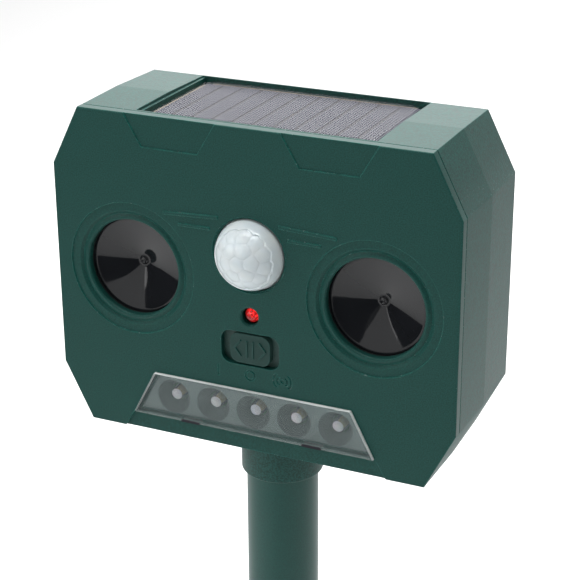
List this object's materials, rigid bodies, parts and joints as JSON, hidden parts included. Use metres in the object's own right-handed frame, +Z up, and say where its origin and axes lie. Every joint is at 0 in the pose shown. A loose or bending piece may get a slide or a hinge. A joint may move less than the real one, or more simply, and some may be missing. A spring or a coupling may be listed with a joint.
{
  "type": "ultrasonic pest repeller",
  "caption": "Solar ultrasonic pest repeller: an eight-sided head with two speakers, motion sensor, lamp row, mode switch and top solar panel on a ground stake.",
  "frame": {"origin": "on the stake's axis at ground level, where the ground spike meets the lower tube", "axes": "+Z up along the stake, the head faces -Y, +X is to the right seen from the front"},
  "size_m": [0.1456, 0.0627, 0.4616],
  "materials": {
    "cover_green": "fine matt moulded texture",
    "housing_green": "fine matt moulded texture",
    "stake_green": "satin moulded",
    "gasket_black": "matt",
    "screw_steel": "zinc plated",
    "panel_edge": "raw laminate edge",
    "cell_silicon": "dark silicon with fine fingers",
    "panel_resin": "clear potting resin",
    "lens_white": "milky polyethylene",
    "sensor_can": "plated can",
    "led_red": "clear red epoxy",
    "switch_green": "matt",
    "switch_white": "natural nylon",
    "switch_steel": "tinned",
    "window_clear": "clear polycarbonate",
    "reflector_grey": "satin grey",
    "lamp_white": "diffused epoxy",
    "board_green": "solder mask",
    "cone_black": "high gloss",
    "frame_black": "matt",
    "piezo_brass": "plain",
    "chip_black": "epoxy",
    "capacitor_sleeve": "heat-shrunk sleeve",
    "coil_ferrite": "ferrite and lacquered wire",
    "cell_wrap": "shrink wrap",
    "contact_nickel": "nickel plated",
    "lead_insulation": "PVC insulation"
  },
  "bodies": {
    "stake": {"stake_upper_tube": "stake_green", "stake_lower_tube": "stake_green", "ground_spike": "stake_green"},
    "head": {"front_cover": "cover_green", "rear_housing": "housing_green", "housing_gasket": "gasket_black", "housing_screws": "screw_steel", "solar_board": "panel_edge", "solar_cells": "cell_silicon", "solar_resin": "panel_resin", "solar_leads": "lead_insulation", "pir_lens": "lens_white", "pir_sensor": "sensor_can", "indicator_led": "led_red", "switch_body": "switch_steel", "lamp_window": "window_clear", "lamp_reflector": "reflector_grey", "lamp_leds": "lamp_white", "lamp_board": "board_green", "lamp_leads": "lead_insulation", "speaker_cone_left": "cone_black", "speaker_cone_right": "cone_black", "speaker_frame_left": "frame_black", "speaker_frame_right": "frame_black", "speaker_piezo_left": "piezo_brass", "speaker_piezo_right": "piezo_brass", "speaker_screws": "screw_steel", "speaker_leads": "lead_insulation", "main_board": "board_green", "controller_chip": "chip_black", "capacitors": "capacitor_sleeve", "step_up_coils": "coil_ferrite", "board_screws": "screw_steel", "battery_cells": "cell_wrap", "battery_contacts": "contact_nickel", "battery_springs": "contact_nickel", "battery_leads": "lead_insulation"},
    "mode_switch": {"switch_slider": "switch_green", "switch_lever": "switch_white"},
    "battery_hatch": {"battery_door": "housing_green"}
  },
  "joints": [
    {"name": "head_swivel", "type": "hinge", "parent": "stake", "child": "head", "pos_m": [0, 0, 0.23], "axis": [0, 0, 1], "continuous": true},
    {"name": "mode_switch_slide", "type": "slide", "parent": "head", "child": "mode_switch", "axis": [1, 0, 0], "range_m": [-0.0025, 0.0025]},
    {"name": "battery_door_hinge", "type": "hinge", "parent": "head", "child": "battery_hatch", "pos_m": [0, 0.0271, 0.2635], "axis": [-1, 0, 0], "range_deg": [0, 95]}
  ]
}
